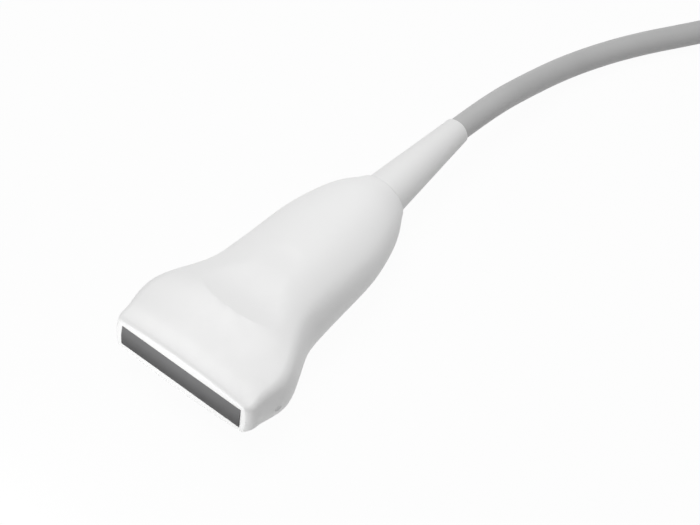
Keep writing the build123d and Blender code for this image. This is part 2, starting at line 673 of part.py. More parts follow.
def window_prism(step, low, high):
    """A prism with the outline of the contact window, stepped out from it all round."""
    width, length = WINDOW_WIDTH + 2 * step, WINDOW_LENGTH + 2 * step
    return Pos(0, WINDOW_SHIFT, 0) * plug_prism(width, length, WINDOW_CORNER + step, low, high)


def screw_corners():
    """Places of the four screws that hold the cover."""
    x = PLUG_WIDTH / 2 - PLUG_WALL - COVER_POST_RADIUS + 0.8
    y = PLUG_LENGTH / 2 - PLUG_WALL - COVER_POST_RADIUS + 0.8
    return [(a * x, b * y) for a in (-1, 1) for b in (-1, 1)]


def plug_hollow(low, high):
    walls = 2 * PLUG_WALL
    return plug_prism(PLUG_WIDTH - walls, PLUG_LENGTH - walls, PLUG_CORNER - PLUG_WALL, low, high)


def lead_gland():
    """The round way out for the boot's neck, through the wall of base and cover."""
    wall = PLUG_LENGTH / 2
    return rod_along_y(NECK_RADIUS + BOOT_BORE_GAP, wall - PLUG_WALL - 1, wall + 1, PLUG_AXIS_HEIGHT)


def clamp_place():
    return PLUG_LENGTH / 2 - PLUG_WALL - CLAMP_DISTANCE - CLAMP_DEPTH


def connector_base():
    """Lower shell with the skirt round the contacts, screw posts and the saddle for the lead."""
    base = plug_prism(PLUG_WIDTH, PLUG_LENGTH, PLUG_CORNER, 0, PLUG_AXIS_HEIGHT)
    base -= plug_hollow(PLUG_WALL, PLUG_AXIS_HEIGHT + 1)
    base += window_prism(PLUG_WALL, 0, BLOCK_SEAT)
    base -= window_prism(0, -1, BLOCK_SEAT + 1)
    for x, y in screw_corners():
        base += rod_up(COVER_POST_RADIUS, 0, PLUG_AXIS_HEIGHT, x, y)
        base -= rod_up(COVER_SCREW_RADIUS + SCREW_GAP, -1, PLUG_AXIS_HEIGHT + 1, x, y)
        base -= rod_up(COVER_SCREW_HEAD_RADIUS + SCREW_GAP, -1, COVER_SCREW_HEAD_HEIGHT + 1, x, y)
    base += block((-CLAMP_WIDTH / 2, CLAMP_WIDTH / 2), (clamp_place(), clamp_place() + CLAMP_DEPTH),
                  (PLUG_WALL, PLUG_AXIS_HEIGHT))
    base -= rod_along_y(CABLE_RADIUS + SCREW_GAP, clamp_place() - 1, clamp_place() + CLAMP_DEPTH + 1,
                        PLUG_AXIS_HEIGHT)
    bite = PLUG_AXIS_HEIGHT - COVER_SCREW_BITE
    for x in (-CLAMP_SCREW_OFFSET, CLAMP_SCREW_OFFSET):
        base -= rod_up(COVER_SCREW_RADIUS + SCREW_GAP, bite, PLUG_AXIS_HEIGHT + 1, x,
                       clamp_place() + CLAMP_DEPTH / 2)
    return base - lead_gland()


def connector_cover():
    """Upper shell with a rounded top edge, the boss that carries the lock shaft and four screw bosses."""
    cover = plug_prism(PLUG_WIDTH, PLUG_LENGTH, PLUG_CORNER, PLUG_AXIS_HEIGHT, PLUG_TOP)
    cover = fillet(cover.faces().sort_by(Axis.Z)[-1].edges(), PLUG_EDGE_RADIUS)
    cover -= plug_hollow(PLUG_AXIS_HEIGHT - 1, PLUG_TOP - PLUG_WALL)
    cover += rod_up(SHAFT_RADIUS + BOSS_WALL, BOSS_LOW, PLUG_TOP, 0, WINDOW_SHIFT)
    cover -= rod_up(SHAFT_RADIUS + SHAFT_PLAY, BOSS_LOW - 1, PLUG_TOP + 1, 0, WINDOW_SHIFT)
    for x, y in screw_corners():
        cover += rod_up(COVER_POST_RADIUS, PLUG_AXIS_HEIGHT, PLUG_TOP - PLUG_WALL, x, y)
        cover -= rod_up(COVER_SCREW_RADIUS + SCREW_GAP, PLUG_AXIS_HEIGHT - 1,
                        PLUG_AXIS_HEIGHT + COVER_SCREW_BITE + 1, x, y)
    return cover - lead_gland()


def row_places():
    """Places across the connector of all contact rows, bank by bank."""
    rows = [FIRST_ROW + i * ROW_PITCH for i in range(PIN_ROWS_PER_BANK)]
    return [-x for x in reversed(rows)] + rows


def contact_block():
    """Insulator that closes the window, with a slot for each row of contacts and a bore for the shaft."""
    body = window_prism(-BLOCK_FIT, BLOCK_START, BLOCK_SEAT)
    body += window_prism(BLOCK_FLANGE_STEP, BLOCK_SEAT, BLOCK_TOP)
    body -= rod_up(SHAFT_RADIUS + SHAFT_PLAY, BLOCK_START - 1, BLOCK_TOP + 1, 0, WINDOW_SHIFT)
    half = PIN_ROW_LENGTH / 2
    for x in row_places():
        body -= block((x - PIN_WIDTH / 2, x + PIN_WIDTH / 2), (WINDOW_SHIFT - half, WINDOW_SHIFT + half),
                      (BLOCK_START - 1, BLOCK_TOP + 1))
    return body


def contact_pins():
    """Rows of contact blades: each row is one comb through the block, with its teeth below it."""
    half = PIN_ROW_LENGTH / 2
    tip = BLOCK_START - PIN_LENGTH
    outline = [(half, BLOCK_TOP), (-half, BLOCK_TOP)]
    for i in range(PINS_PER_ROW):
        left = -half + i * PIN_PITCH + (PIN_PITCH - PIN_WIDTH) / 2
        right = left + PIN_WIDTH
        if i == 0:
            outline.append((-half, BLOCK_START))
        outline += [(left, BLOCK_START), (left, tip), (right, tip), (right, BLOCK_START)]
    outline.append((half, BLOCK_START))
    rows = []
    for x in row_places():
        side = make_face(Polyline(*[(x, WINDOW_SHIFT + y, z) for y, z in outline], close=True))
        rows.append(extrude(side, PIN_WIDTH / 2, dir=(1, 0, 0), both=True))
    return Compound(children=rows)


def shield_gasket():
    """Conductive frame in the recess, against the block."""
    low = BLOCK_START - GASKET_THICKNESS
    return window_prism(-BLOCK_FIT, low, BLOCK_START) - window_prism(-GASKET_WIDTH, low - 1, BLOCK_START + 1)


def connector_board():
    """Board on the back of the contact block."""
    board = window_prism(BLOCK_FLANGE_STEP, BLOCK_TOP, PLUG_BOARD_TOP)
    return board - rod_up(SHAFT_RADIUS + 1, BLOCK_TOP - 1, PLUG_BOARD_TOP + 1, 0, WINDOW_SHIFT)


def header_back():
    """Back of the wire header, at the edge of the board nearest the lead."""
    return WINDOW_SHIFT + WINDOW_LENGTH / 2 + BLOCK_FLANGE_STEP - 0.5


def board_header():
    """Block on the board where the lead's conductors end."""
    return block((-HEADER_WIDTH / 2, HEADER_WIDTH / 2), (header_back() - HEADER_DEPTH, header_back()),
                 (PLUG_BOARD_TOP, PLUG_BOARD_TOP + HEADER_HEIGHT))


def connector_fan():
    """Conductors from the header up to the end of the lead."""
    middle = PLUG_BOARD_TOP + HEADER_HEIGHT / 2
    fan = coax_fan(header_back(), LEAD_END, HEADER_WIDTH / 2 - 1, HEADER_HEIGHT / 2 - 0.2,
                   PLUG_AXIS_HEIGHT - middle)
    return Pos(0, 0, PLUG_AXIS_HEIGHT) * fan


def lead_clamp():
    """Bar over the lead, screwed to the saddle of the base."""
    bar = block((-CLAMP_WIDTH / 2, CLAMP_WIDTH / 2), (clamp_place(), clamp_place() + CLAMP_DEPTH),
                (PLUG_AXIS_HEIGHT, PLUG_AXIS_HEIGHT + CABLE_RADIUS + CLAMP_BAR_HEIGHT))
    bar -= rod_along_y(CABLE_RADIUS + SCREW_GAP, clamp_place() - 1, clamp_place() + CLAMP_DEPTH + 1,
                       PLUG_AXIS_HEIGHT)
    for x in (-CLAMP_SCREW_OFFSET, CLAMP_SCREW_OFFSET):
        bar -= rod_up(COVER_SCREW_RADIUS + SCREW_GAP, PLUG_AXIS_HEIGHT - 1, PLUG_TOP, x,
                      clamp_place() + CLAMP_DEPTH / 2)
    return bar


def clamp_screws():
    top = PLUG_AXIS_HEIGHT + CABLE_RADIUS + CLAMP_BAR_HEIGHT
    screws = []
    for x in (-CLAMP_SCREW_OFFSET, CLAMP_SCREW_OFFSET):
        y = clamp_place() + CLAMP_DEPTH / 2
        shank = rod_up(COVER_SCREW_RADIUS, PLUG_AXIS_HEIGHT - COVER_SCREW_BITE + 1, top, x, y)
        screws.append(shank + rod_up(COVER_SCREW_HEAD_RADIUS, top, top + COVER_SCREW_HEAD_HEIGHT, x, y))
    return Compound(children=screws)


def cover_screws():
    """Four screws from below through the base's posts into the cover."""
    seat = COVER_SCREW_HEAD_HEIGHT + 1
    screws = []
    for x, y in screw_corners():
        shank = rod_up(COVER_SCREW_RADIUS, seat, PLUG_AXIS_HEIGHT + COVER_SCREW_BITE, x, y)
        screws.append(shank + rod_up(COVER_SCREW_HEAD_RADIUS, 1, seat, x, y))
    return Compound(children=screws)


# The lock of the connector, which turns as one body

def lock_shaft():
    """Shaft through block and cover, drilled for the cross pin and tapped for the knob's screw."""
    shaft = rod_up(SHAFT_RADIUS, SHAFT_TIP_HEIGHT, SHAFT_TOP, 0, WINDOW_SHIFT)
    pin_height = SHAFT_TIP_HEIGHT + CROSS_PIN_OFFSET
    shaft -= Pos(0, WINDOW_SHIFT, pin_height) * Rot(0, 90, 0) * Cylinder(CROSS_PIN_RADIUS, 3 * SHAFT_RADIUS)
    tapped = rod_up(KNOB_SCREW_RADIUS + SCREW_GAP / 2, SHAFT_TOP - KNOB_SCREW_LENGTH, SHAFT_TOP + 1)
    return shaft - Pos(0, WINDOW_SHIFT, 0) * tapped


def lock_cross_pin():
    pin_height = SHAFT_TIP_HEIGHT + CROSS_PIN_OFFSET
    pin = Cylinder(CROSS_PIN_RADIUS - SCREW_GAP / 4, CROSS_PIN_LENGTH)
    return Pos(0, WINDOW_SHIFT, pin_height) * Rot(0, 90, 0) * pin


def shaft_clip():
    """Ring on the shaft under the cover's boss, which keeps the shaft from lifting out."""
    high = CLIP_LOW + CLIP_THICKNESS
    ring = rod_up(SHAFT_RADIUS + CLIP_STEP, CLIP_LOW, high, 0, WINDOW_SHIFT)
    return ring - rod_up(SHAFT_RADIUS + SCREW_GAP / 4, CLIP_LOW - 1, high + 1, 0, WINDOW_SHIFT)


def lock_knob():
    """Round knob with a straight grip bar across it."""
    base = rod_up(KNOB_RADIUS, KNOB_LOW, KNOB_LOW + KNOB_BASE_THICKNESS)
    base = chamfer(base.faces().sort_by(Axis.Z)[-1].edges(), 1.0)
    plan = Plane((0, 0, KNOB_LOW)) * SlotOverall(GRIP_BAR_LENGTH, GRIP_BAR_WIDTH)
    bar = extrude(plan, KNOB_TOP - KNOB_LOW)
    bar = fillet(bar.faces().sort_by(Axis.Z)[-1].edges(), 1.5)
    knob = base + bar
    knob -= rod_up(SHAFT_RADIUS + SCREW_GAP / 4, KNOB_LOW - 1, SHAFT_TOP)
    knob -= rod_up(KNOB_SCREW_RADIUS + SCREW_GAP, SHAFT_TOP - 1, KNOB_TOP + 1)
    knob -= rod_up(KNOB_SCREW_HEAD_RADIUS + SCREW_GAP, KNOB_TOP - KNOB_SCREW_HEAD_HEIGHT - 0.6, KNOB_TOP + 1)
    return Pos(0, WINDOW_SHIFT, 0) * knob


def knob_screw():
    seat = KNOB_TOP - KNOB_SCREW_HEAD_HEIGHT - 0.6
    shank = rod_up(KNOB_SCREW_RADIUS, seat - KNOB_SCREW_LENGTH, seat, 0, WINDOW_SHIFT)
    return shank + rod_up(KNOB_SCREW_HEAD_RADIUS, seat, seat + KNOB_SCREW_HEAD_HEIGHT, 0, WINDOW_SHIFT)


def probe_parts(half):
    """Every piece of the probe, on its own axis with the face at zero."""
    ferrule_start = HOUSING_LENGTH - FERRULE_TAIL_CLEARANCE - FERRULE_LENGTH
    return {
        "upper_housing": upper_housing(half),
        "lower_housing": lower_housing(half),
        "acoustic_lens": acoustic_lens(),
        "outer_matching_layer": stack_layer(LENS_SKIN, OUTER_MATCHING_THICKNESS),
        "inner_matching_layer": stack_layer(LENS_SKIN + OUTER_MATCHING_THICKNESS, INNER_MATCHING_THICKNESS),
        "piezo_array": piezo_array(),
        "flex_circuit": flex_circuit(),
        "backing_block": backing_block(),
        "array_frame": array_frame(),
        "upper_board": signal_board(1),
        "lower_board": signal_board(-1),
        "upper_socket": board_socket(1),
        "lower_socket": board_socket(-1),
        "board_spacer": board_spacer(),
        "spacer_screws": spacer_screws(),
        "shield_sleeve": shield_sleeve(),
        "coax_fan": coax_fan(BOARD_END, LEAD_START, board_half_width() * 0.7, BOARD_FACE),
        "lead_ferrule": lead_ferrule(ferrule_start),
        "held_lead": rod_along_y(CABLE_RADIUS, LEAD_START, HOUSING_LENGTH + BOOT_LENGTH),
        "strain_relief": Pos(0, HOUSING_LENGTH, 0) * boot(TAIL_WALL, BOOT_LENGTH),
    }


def connector_parts():
    """Every piece of the system connector, about its own middle."""
    gland = Pos(0, PLUG_LENGTH / 2, PLUG_AXIS_HEIGHT)
    lead_tip = PLUG_LENGTH / 2 + PLUG_BOOT_LENGTH
    return {
        "connector_base": connector_base(),
        "connector_cover": connector_cover(),
        "contact_block": contact_block(),
        "contact_pins": contact_pins(),
        "shield_gasket": shield_gasket(),
        "connector_board": connector_board(),
        "board_header": board_header(),
        "connector_fan": connector_fan(),
        "connector_lead": rod_along_y(CABLE_RADIUS, LEAD_END, lead_tip, PLUG_AXIS_HEIGHT),
        "connector_boot": gland * boot(PLUG_WALL, PLUG_BOOT_LENGTH),
        "lead_clamp": lead_clamp(),
        "clamp_screws": clamp_screws(),
        "cover_screws": cover_screws(),
        "lock_shaft": lock_shaft(),
        "lock_cross_pin": lock_cross_pin(),
        "shaft_clip": shaft_clip(),
        "lock_knob": lock_knob(),
        "knob_screw": knob_screw(),
    }


def main():
    os.makedirs("parts", exist_ok=True)
    half = housing_half(housing_form(), housing_cavity())
    axis_height = half.bounding_box().max.Z
    to_ground = Pos(0, FACE_Y, axis_height)
    parts = {name: to_ground * shape for name, shape in probe_parts(half).items()}
    parts["cable"] = cable(axis_height)
    parts["cable_hank"] = cable_hank()
    parts["hank_tie"] = hank_tie()
    parts["cable_tail"] = cable_tail()
    parts.update({name: on_ground(shape) for name, shape in connector_parts().items()})
    for name, shape in parts.items():
        export_step(shape, f"parts/{name}.step")


main()
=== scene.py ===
"""Looks of a linear-array ultrasound probe, its lead and its system connector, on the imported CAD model."""

import math

import bmesh
import bpy
from mathutils import Matrix, Vector


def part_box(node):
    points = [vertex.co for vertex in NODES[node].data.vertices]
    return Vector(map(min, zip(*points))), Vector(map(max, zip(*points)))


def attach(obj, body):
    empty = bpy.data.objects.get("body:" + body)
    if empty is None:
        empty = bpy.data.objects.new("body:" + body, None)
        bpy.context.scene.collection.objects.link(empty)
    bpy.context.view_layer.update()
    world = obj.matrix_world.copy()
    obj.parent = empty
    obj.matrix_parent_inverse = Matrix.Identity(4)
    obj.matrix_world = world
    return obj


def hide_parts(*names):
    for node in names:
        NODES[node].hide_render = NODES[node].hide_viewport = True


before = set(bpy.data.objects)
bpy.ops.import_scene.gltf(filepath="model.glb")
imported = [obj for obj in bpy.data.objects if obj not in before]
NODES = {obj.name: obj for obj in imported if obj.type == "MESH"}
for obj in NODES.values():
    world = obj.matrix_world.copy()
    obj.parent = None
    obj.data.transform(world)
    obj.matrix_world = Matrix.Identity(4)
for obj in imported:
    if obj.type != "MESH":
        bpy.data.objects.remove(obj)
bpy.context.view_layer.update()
SCENE = bpy.context.scene

# Camera, in metres, from the outline of the probe in the photograph
FACE_CENTRE = Vector((0.0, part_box("upper_housing")[0][1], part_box("upper_housing")[0][2]))
CAMERA_FROM_FACE = Vector((0.263972, -0.341498, 0.564391))
CAMERA_RIGHT = Vector((0.7773592, 0.6220165, 0.0938518))
CAMERA_UP = Vector((-0.5260037, 0.5609088, 0.6392976))
SENSOR_WIDTH = 36.0
FOCAL_LENGTH = 135.11
PICTURE_SHIFT = 0.0015
NEAREST_SEEN = 0.01

# Light: each lamp's name, how far behind the lens it aims, its direction, distance, size and power
WHITE = (1.0, 1.0, 1.0, 1.0)
WORLD_STRENGTH = 0.40
LAMPS = [
    ("overhead", 0.0, (-0.24, 0.05, 1.0), 1.2, 0.8, 6.5),
    ("before the lens", 0.0, (-0.10, -1.0, 0.0), 0.09, 0.04, 0.060),
    ("over the grip", 0.058, (0.08, 0.25, 1.0), 0.10, 0.05, 0.0135),
]

# Floor, and how much of its shadow the camera sees
FLOOR_SIZE = 6.0
FLOOR_GREY = 0.64
FLOOR_ROUGHNESS = 0.9
FLOOR_SHADOW_SHARE = 0.04

# Blended skin round the thumb scoop: spans in metres behind the lens face, and lowest place above the axis
SCOOP_SPAN = (0.0185, 0.054)
BLEND_BEHIND_CREASE = (0.0212, 0.0255)
SCOOP_LOWEST = 0.0075
MERGE_DISTANCE = 0.000002
SKIN_EDGE = 0.0009
SKIN_CUTS = 2
UPWARD = 0.25
BLEND_STEPS = 25
SHARP_ANGLE = 20.0

# Finishes and the lens's painted shade: reaches from the axis and edge radii in metres, the lens's share of
# the usual sheen, noise's range
SEAM_REACH = 0.0016
HOUSING_EDGE = 0.0007
CONNECTOR_EDGE = 0.0004
EDGE_SAMPLES = 6
LENS_SHEEN = 0.22
LENS_SHADE_REACH = 0.0042
NOISE_RANGE = (0.3, 0.7)

# The free lead, in metres
LEAD_DIAMETER = 0.0073
LEAD_ROUTE = [
    (0.0009, 0.0778, 0.0129),
    (0.0022, 0.0970, 0.0086),
    (0.0048, 0.1171, 0.0042),
    (0.0131, 0.1369, 0.00365),
    (0.0256, 0.1570, 0.00365),
    (0.0372, 0.1768, 0.00365),
    (0.0370, 0.2000, 0.00365),
]
HANK_CENTRE = (0.00715, 0.279)
HANK_RUN = 0.060
HANK_INNER_TURN = 0.0222
HANK_END_TURN = 6.2
TURNS_PER_LAYER = 1.5
LANE_CHANGE = (0.54, 0.66)
LAYER_CHANGE = (1.2, 1.5)
POINTS_PER_FOLD = 10
FOLD_STARTS = 0.2
FOLD_LASTS = 0.3
STRAIGHT_POINTS = [(0.04, -0.35), (0.16, 0.35)]
TAIL_ROUTE = [(0.03665, 0.3257), (0.0103, 0.3415)]
ROUNDNESS = 8
STEPS_PER_POINT = 10


def share_of(value, span):
    """How far a value has come through a span, from 0 to 1."""
    return min(max((value - span[0]) / (span[1] - span[0]), 0.0), 1.0)


# Camera, light and floor

def add_camera():
    """Camera at the photograph's place, looking straight along its own axis."""
    camera_back = CAMERA_RIGHT.cross(CAMERA_UP)
    turn = Matrix((CAMERA_RIGHT, CAMERA_UP, camera_back)).transposed().to_4x4()
    data = bpy.data.cameras.new("camera")
    data.sensor_width = SENSOR_WIDTH
    data.lens = FOCAL_LENGTH
    data.shift_y = PICTURE_SHIFT
    data.clip_start = NEAREST_SEEN
    camera = bpy.data.objects.new("camera", data)
    camera.matrix_world = Matrix.Translation(FACE_CENTRE + CAMERA_FROM_FACE) @ turn
    SCENE.collection.objects.link(camera)
    SCENE.camera = camera
    SCENE.view_settings.view_transform = "Standard"


def larger(tree, one, other):
    """The larger of two values."""
    node = tree.nodes.new("ShaderNodeMath")
    node.operation = "MAXIMUM"
    tree.links.new(one, node.inputs[0])
    tree.links.new(other, node.inputs[1])
    return node.outputs[0]


def seen_directly(tree):
    """One for rays that show a thing itself: from the camera, mirrored, or through a clear piece."""
    path = tree.nodes.new("ShaderNodeLightPath")
    value = path.outputs["Is Camera Ray"]
    for other in ("Is Glossy Ray", "Is Transmission Ray"):
        value = larger(tree, value, path.outputs[other])
    return value


def add_lamp(name, behind_lens, direction, distance, size, power):
    """A square soft lamp that shines from a direction at a place on the probe's axis."""
    data = bpy.data.lights.new(name, "AREA")
    data.size = size
    data.energy = power
    lamp = bpy.data.objects.new(name, data)
    away = Vector(direction).normalized()
    lamp.location = FACE_CENTRE + Vector((0.0, behind_lens, 0.0)) + away * distance
    lamp.rotation_euler = away.to_track_quat("Z", "Y").to_euler()
    lamp.visible_camera = False
    SCENE.collection.objects.link(lamp)


def light_the_scene():
    """Even pale surroundings, a large lamp overhead and small ones before the lens and over the grip."""
    world = bpy.data.worlds.new("surroundings")
    world.use_nodes = True
    tree = world.node_tree
    background = tree.nodes["Background"]
    background.inputs["Color"].default_value = WHITE
    background.inputs["Strength"].default_value = WORLD_STRENGTH
    shown = tree.nodes.new("ShaderNodeBackground")
    shown.inputs["Color"].default_value = WHITE
    shown.inputs["Strength"].default_value = 1.0
    mix = tree.nodes.new("ShaderNodeMixShader")
    tree.links.new(seen_directly(tree), mix.inputs["Fac"])
    tree.links.new(background.outputs["Background"], mix.inputs[1])
    tree.links.new(shown.outputs["Background"], mix.inputs[2])
    tree.links.new(mix.outputs["Shader"], tree.nodes["World Output"].inputs["Surface"])
    SCENE.world = world
    for lamp in LAMPS:
        add_lamp(*lamp)


def add_floor():
    """Pale floor that the camera sees as white, with a faint shadow."""
    mesh = bpy.data.meshes.new("floor")
    half = FLOOR_SIZE / 2
    corners = [(-half, -half, 0), (half, -half, 0), (half, half, 0), (-half, half, 0)]
    mesh.from_pydata(corners, [], [(0, 1, 2, 3)])
    floor = bpy.data.objects.new("floor", mesh)
    SCENE.collection.objects.link(floor)
    material = bpy.data.materials.new("pale_floor")
    material.use_nodes = True
    tree = material.node_tree
    paint = tree.nodes["Principled BSDF"]
    paint.inputs["Base Color"].default_value = (FLOOR_GREY, FLOOR_GREY, FLOOR_GREY, 1.0)
    paint.inputs["Roughness"].default_value = FLOOR_ROUGHNESS
    white = tree.nodes.new("ShaderNodeEmission")
    share = tree.nodes.new("ShaderNodeMath")
    share.operation = "MULTIPLY"
    share.inputs[1].default_value = 1.0 - FLOOR_SHADOW_SHARE
    tree.links.new(seen_directly(tree), share.inputs[0])
    mix = tree.nodes.new("ShaderNodeMixShader")
    tree.links.new(share.outputs[0], mix.inputs["Fac"])
    tree.links.new(paint.outputs["BSDF"], mix.inputs[1])
    tree.links.new(white.outputs["Emission"], mix.inputs[2])
    tree.links.new(mix.outputs["Shader"], tree.nodes["Material Output"].inputs["Surface"])
    mesh.materials.append(material)


# The housing

def near_scoop(vertex):
    """Whether a point lies on or round the thumb scoop, above the flanks."""
    behind = vertex.co.y - FACE_CENTRE.y
    return SCOOP_SPAN[0] < behind < SCOOP_SPAN[1] and vertex.co.z - FACE_CENTRE.z > SCOOP_LOWEST


def blended_housing(material):
    """The upper housing with the sides and the far end of its thumb scoop blended into the grip."""
    mesh = NODES["upper_housing"].data.copy()
    mesh.name = "upper_housing_skin"
    mesh.materials.clear()
    mesh.materials.append(material)
    form = bmesh.new()
    form.from_mesh(mesh)
    bmesh.ops.remove_doubles(form, verts=form.verts, dist=MERGE_DISTANCE)
    for _ in range(SKIN_CUTS):
        edges = [e for e in form.edges if e.calc_length() > SKIN_EDGE and all(map(near_scoop, e.verts))]
        bmesh.ops.subdivide_edges(form, edges=edges, cuts=1, use_grid_fill=True)
        bmesh.ops.triangulate(form, faces=[f for f in form.faces if len(f.verts) > 3])
    form.normal_update()
    form.to_mesh(mesh)
    form.free()
    housing = bpy.data.objects.new("upper_housing_skin", mesh)
    SCENE.collection.objects.link(housing)
    blend = housing.vertex_groups.new(name="blend")
    for vertex in mesh.vertices:
        if near_scoop(vertex) and vertex.normal.z > UPWARD:
            weight = share_of(vertex.co.y - FACE_CENTRE.y, BLEND_BEHIND_CREASE)
            blend.add([vertex.index], weight, "REPLACE")
    smooth = housing.modifiers.new("blend", "SMOOTH")
    smooth.iterations = BLEND_STEPS
    smooth.vertex_group = blend.name
    blended = housing.evaluated_get(bpy.context.evaluated_depsgraph_get())
    baked = bpy.data.meshes.new_from_object(blended)
    housing.modifiers.clear()
    housing.data = baked
    baked.shade_smooth()
    baked.set_sharp_from_angle(angle=math.radians(SHARP_ANGLE))
    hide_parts("upper_housing")
    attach(housing, "probe_and_lead")


# The lead

def turn_stations():
    """Places round one turn of the hank: share of the turn, middle of the bend along Y, angle and swell."""
    step = 180.0 / POINTS_PER_FOLD
    swell = 1.0 / math.cos(math.radians(step / 2))
    stations = []
    for half, way in ((0, 1), (1, -1)):
        for share, along in STRAIGHT_POINTS:
            stations.append((0.5 * half + share, way * along * HANK_RUN, 180.0 * half, 1.0))
        for k in range(POINTS_PER_FOLD):
            share = 0.5 * half + FOLD_STARTS + FOLD_LASTS * (k + 0.5) / POINTS_PER_FOLD
            stations.append((share, way * HANK_RUN / 2, 180.0 * half + step * (k + 0.5), swell))
    return stations


def hank_points():
    """Turns of the put-away lead, in two lanes and layer on layer, seen from above against the clock."""
    stations = turn_stations()
    points = []
    for i in range(math.ceil(HANK_END_TURN) * len(stations)):
        share, middle, angle, swell = stations[i % len(stations)]
        turned = i // len(stations) + share
        if turned > HANK_END_TURN:
            break
        layer = int(turned / TURNS_PER_LAYER)
        within = turned - layer * TURNS_PER_LAYER
        changed = share_of(within, LANE_CHANGE)
        outward = changed if layer % 2 else 1.0 - changed
        radius = (HANK_INNER_TURN + outward * LEAD_DIAMETER) * swell
        height = (layer + share_of(within, LAYER_CHANGE) + 0.5) * LEAD_DIAMETER
        x = HANK_CENTRE[0] + radius * math.cos(math.radians(angle))
        y = HANK_CENTRE[1] + middle + radius * math.sin(math.radians(angle))
        points.append((x, y, height))
    return points


def spline_curve(name, points, radius):
    """A round tube along a smooth spline; each of its control points holds the tube's radius."""
    curve = bpy.data.curves.new(name, "CURVE")
    curve.dimensions = "3D"
    curve.bevel_depth = 1.0
    curve.bevel_resolution = ROUNDNESS
    curve.resolution_u = STEPS_PER_POINT
    curve.use_fill_caps = True
    spline = curve.splines.new("NURBS")
    spline.points.add(len(points) - 1)
    for point, place in zip(spline.points, points):
        point.co = (*place, 1.0)
        point.radius = radius
    spline.order_u = 3
    spline.use_endpoint_u = True
    return curve


def curve_length(curve):
    """Length of a curve's own line."""
    bevel, curve.bevel_depth = curve.bevel_depth, 0.0
    probe = bpy.data.objects.new("measure", curve)
    line = bpy.data.meshes.new_from_object(probe)
    bpy.data.objects.remove(probe)
    curve.bevel_depth = bevel
    places = [vertex.co.copy() for vertex in line.vertices]
    bpy.data.meshes.remove(line)
    return sum((b - a).length for a, b in zip(places, places[1:]))


def lay_the_lead(material):
    """The free lead from the strain relief to the connector's own strain relief, as one cord."""
    start = (0.0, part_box("strain_relief")[1][1], FACE_CENTRE.z)
    tail_low, tail_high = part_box("cable_tail")
    top = (tail_low[2] + tail_high[2]) / 2
    end = (TAIL_ROUTE[-1][0], tail_high[1])
    points = [start] + LEAD_ROUTE + hank_points() + [(x, y, top) for x, y in TAIL_ROUTE + [end]]
    curve = spline_curve("lead", points, LEAD_DIAMETER / 2)
    curve.materials.append(material)
    lead = bpy.data.objects.new("lead", curve)
    SCENE.collection.objects.link(lead)
    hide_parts("cable", "cable_hank", "cable_tail")
    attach(lead, "probe_and_lead")
    round(curve_length(curve), 2)


# Materials

def new_material(name, colour, roughness, metallic=0.0):
    """A principled material with its constants set on the shader itself."""
    material = bpy.data.materials.new(name)
    material.use_nodes = True
    shader = material.node_tree.nodes["Principled BSDF"]
    shader.inputs["Base Color"].default_value = (*colour, 1.0)
    shader.inputs["Roughness"].default_value = roughness
    shader.inputs["Metallic"].default_value = metallic
    return material


def object_coordinates(tree):
    """Places in the piece's own space."""
    return tree.nodes.new("ShaderNodeTexCoord").outputs["Object"]


def noise(tree, scale, detail=3.0):
    """Noise in the piece's own space, in cells per metre."""
    node = tree.nodes.new("ShaderNodeTexNoise")
    node.inputs["Scale"].default_value = scale
    node.inputs["Detail"].default_value = detail
    tree.links.new(object_coordinates(tree), node.inputs["Vector"])
    return node.outputs["Fac"]


def spread(tree, value, low, high):
    """Brings a value that varies about a half to a range."""
    node = tree.nodes.new("ShaderNodeMapRange")
    node.inputs["From Min"].default_value = NOISE_RANGE[0]
    node.inputs["From Max"].default_value = NOISE_RANGE[1]
    node.inputs["To Min"].default_value = low
    node.inputs["To Max"].default_value = high
    tree.links.new(value, node.inputs["Value"])
    return node.outputs["Result"]


def vary_roughness(material, scale, low, high):
    """A sheen that changes from place to place between two roughnesses."""
    tree = material.node_tree
    shader = tree.nodes["Principled BSDF"]
    tree.links.new(spread(tree, noise(tree, scale), low, high), shader.inputs["Roughness"])


def vary_colour(material, scale, one, other):
    """Clouds of one colour in another."""
    tree = material.node_tree
    mix = tree.nodes.new("ShaderNodeMix")
    mix.data_type = "RGBA"
    mix.inputs["A"].default_value = (*one, 1.0)
    mix.inputs["B"].default_value = (*other, 1.0)
    tree.links.new(spread(tree, noise(tree, scale), 0.0, 1.0), mix.inputs["Factor"])
    tree.links.new(mix.outputs["Result"], tree.nodes["Principled BSDF"].inputs["Base Color"])


def add_bump(material, scale, depth, detail=3.0, normal=None):
    """Fine relief of a given depth in metres."""
    tree = material.node_tree
    bump = tree.nodes.new("ShaderNodeBump")
    bump.inputs["Strength"].default_value = 1.0
    bump.inputs["Distance"].default_value = depth
    tree.links.new(noise(tree, scale, detail), bump.inputs["Height"])
    if normal is not None:
        tree.links.new(normal, bump.inputs["Normal"])
    tree.links.new(bump.outputs["Normal"], tree.nodes["Principled BSDF"].inputs["Normal"])


def rounded_edges(material, radius):
    """Normals that soften the edges of a moulding."""
    bevel = material.node_tree.nodes.new("ShaderNodeBevel")
    bevel.samples = EDGE_SAMPLES
    bevel.inputs["Radius"].default_value = radius
    return bevel.outputs["Normal"]


def height_share(tree, low, high):
    """How far a point has come from one height above the axis to another, from 0 to 1."""
    parts = tree.nodes.new("ShaderNodeSeparateXYZ")
    tree.links.new(object_coordinates(tree), parts.inputs["Vector"])
    node = tree.nodes.new("ShaderNodeMapRange")
    node.interpolation_type = "SMOOTHSTEP"
    node.inputs["From Min"].default_value = FACE_CENTRE.z + low
    node.inputs["From Max"].default_value = FACE_CENTRE.z + high
    tree.links.new(parts.outputs["Z"], node.inputs["Value"])
    return node.outputs["Result"]


